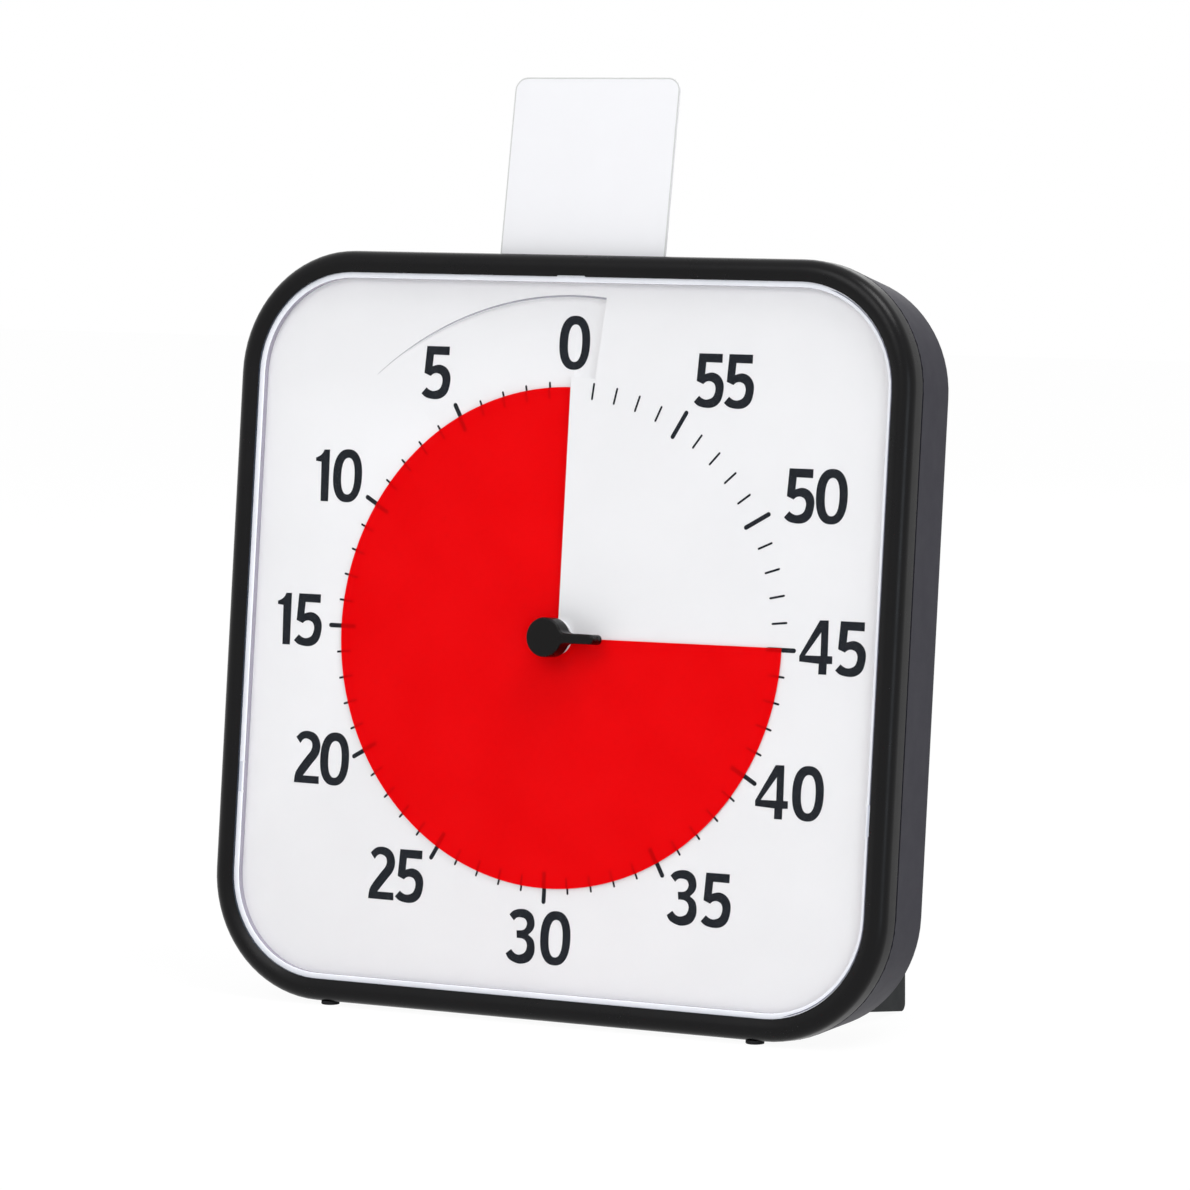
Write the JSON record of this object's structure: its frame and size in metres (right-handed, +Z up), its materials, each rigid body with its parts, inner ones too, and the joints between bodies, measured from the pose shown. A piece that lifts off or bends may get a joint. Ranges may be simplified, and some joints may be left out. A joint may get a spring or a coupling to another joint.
{
  "type": "visual countdown timer",
  "caption": "Square visual countdown timer: a red disc slides through a slit in the dial as a knob turns; stands on fold-out feet with a card in its top slot.",
  "frame": {"origin": "middle of the whole timer in X and Y, on the surface that it stands on", "axes": "+Z up, the dial faces -Y and leans back, +X to the right as seen from the front"},
  "size_m": [0.3048, 0.0992, 0.374],
  "materials": {
    "bezel_black": "fine satin texture",
    "clear_lens": "polished clear acrylic",
    "dial_white": "smooth matt white",
    "inner_grey": "moulded",
    "housing_black": "fine satin texture",
    "disc_red": "smooth satin red",
    "knob_black": "semi-gloss",
    "steel": "turned",
    "brass_plain": "turned",
    "movement_black": "moulded",
    "train_white": "moulded",
    "magnet_dark": "sintered",
    "copper_wire": "enamelled",
    "board_green": "lacquered",
    "cell_sleeve": "plain sleeve",
    "foot_black": "fine satin texture",
    "pad_rubber": "soft matt",
    "card_white": "glossy wipe-clean sheet"
  },
  "bodies": {
    "case": {"front_bezel": "bezel_black", "lens": "clear_lens", "dial_plate": "dial_white", "dial_carrier": "inner_grey", "rear_housing": "housing_black", "bush_washer": "steel", "bush_nut": "brass_plain", "movement_front": "movement_black", "movement_rear": "movement_black", "train_bridge": "train_white", "stator": "steel", "coil": "copper_wire", "movement_board": "board_green", "crystal": "steel", "battery_spring": "steel", "battery_contact": "steel", "cell": "cell_sleeve", "buzzer": "movement_black", "volume_board": "board_green", "volume_pot": "inner_grey", "foot_pins": "steel", "front_pads": "pad_rubber", "case_screws": "steel"},
    "setting": {"time_disc": "disc_red", "disc_hub": "disc_red", "knob": "knob_black", "setting_arbor": "steel", "clutch_spring": "brass_plain"},
    "centre_gear": {"centre_wheel": "train_white"},
    "third_gear": {"third_wheel": "train_white"},
    "second_gear": {"second_wheel": "train_white"},
    "step_gear": {"step_wheel": "train_white"},
    "rotor": {"magnet_rotor": "magnet_dark"},
    "volume": {"volume_wheel": "knob_black"},
    "left_foot": {"foot_left": "foot_black"},
    "right_foot": {"foot_right": "foot_black"},
    "door": {"battery_door": "housing_black"},
    "card": {"activity_card": "card_white"}
  },
  "joints": [
    {"name": "knob_turn", "type": "hinge", "parent": "case", "child": "setting", "pos_m": [0, -0.02638, 0.15255], "axis": [0, -0.993, 0.1184], "range_deg": [-270, 90], "deforming": ["time_disc"]},
    {"name": "foot_left_fold", "type": "hinge", "parent": "case", "child": "left_foot", "pos_m": [-0.115, -0.00728, 0.00783], "axis": [0, 0.1184, 0.993], "range_deg": [-90, 0]},
    {"name": "foot_right_fold", "type": "hinge", "parent": "case", "child": "right_foot", "pos_m": [0.115, -0.00728, 0.00783], "axis": [0, 0.1184, 0.993], "range_deg": [0, 90]},
    {"name": "card_slide", "type": "slide", "parent": "case", "child": "card", "axis": [0, 0.1959, 0.9806], "range_m": [0, 0.016]},
    {"name": "battery_door_pull", "type": "slide", "parent": "case", "child": "door", "axis": [0, 0.993, -0.1184], "range_m": [0, 0.02]},
    {"name": "volume_turn", "type": "hinge", "parent": "case", "child": "volume", "pos_m": [0.064, 0.00011, 0.10105], "axis": [1, 0, 0], "range_deg": [-135, 135]},
    {"name": "step_wheel_turn", "type": "hinge", "parent": "case", "child": "step_gear", "pos_m": [0.0056, -0.00972, 0.16555], "axis": [0, -0.993, 0.1184], "continuous": true},
    {"name": "rotor_turn", "type": "hinge", "parent": "case", "child": "rotor", "pos_m": [0.0152, -0.01014, 0.16207], "axis": [0, -0.993, 0.1184], "continuous": true},
    {"name": "second_wheel_turn", "type": "hinge", "parent": "case", "child": "second_gear", "pos_m": [-0.00042, -0.00972, 0.16555], "axis": [0, -0.993, 0.1184], "continuous": true},
    {"name": "third_wheel_turn", "type": "hinge", "parent": "case", "child": "third_gear", "pos_m": [-0.00765, -0.01058, 0.15837], "axis": [0, -0.993, 0.1184], "continuous": true},
    {"name": "centre_wheel_turn", "type": "hinge", "parent": "case", "child": "centre_gear", "pos_m": [0, -0.01149, 0.15077], "axis": [0, -0.993, 0.1184], "continuous": true}
  ],
  "couplings": [
    {"joint": "rotor_turn", "follows": "step_wheel_turn", "ratio": -7.5},
    {"joint": "second_wheel_turn", "follows": "step_wheel_turn", "ratio": -0.25},
    {"joint": "third_wheel_turn", "follows": "step_wheel_turn", "ratio": 0.033333},
    {"joint": "centre_wheel_turn", "follows": "step_wheel_turn", "ratio": -0.0041667}
  ]
}
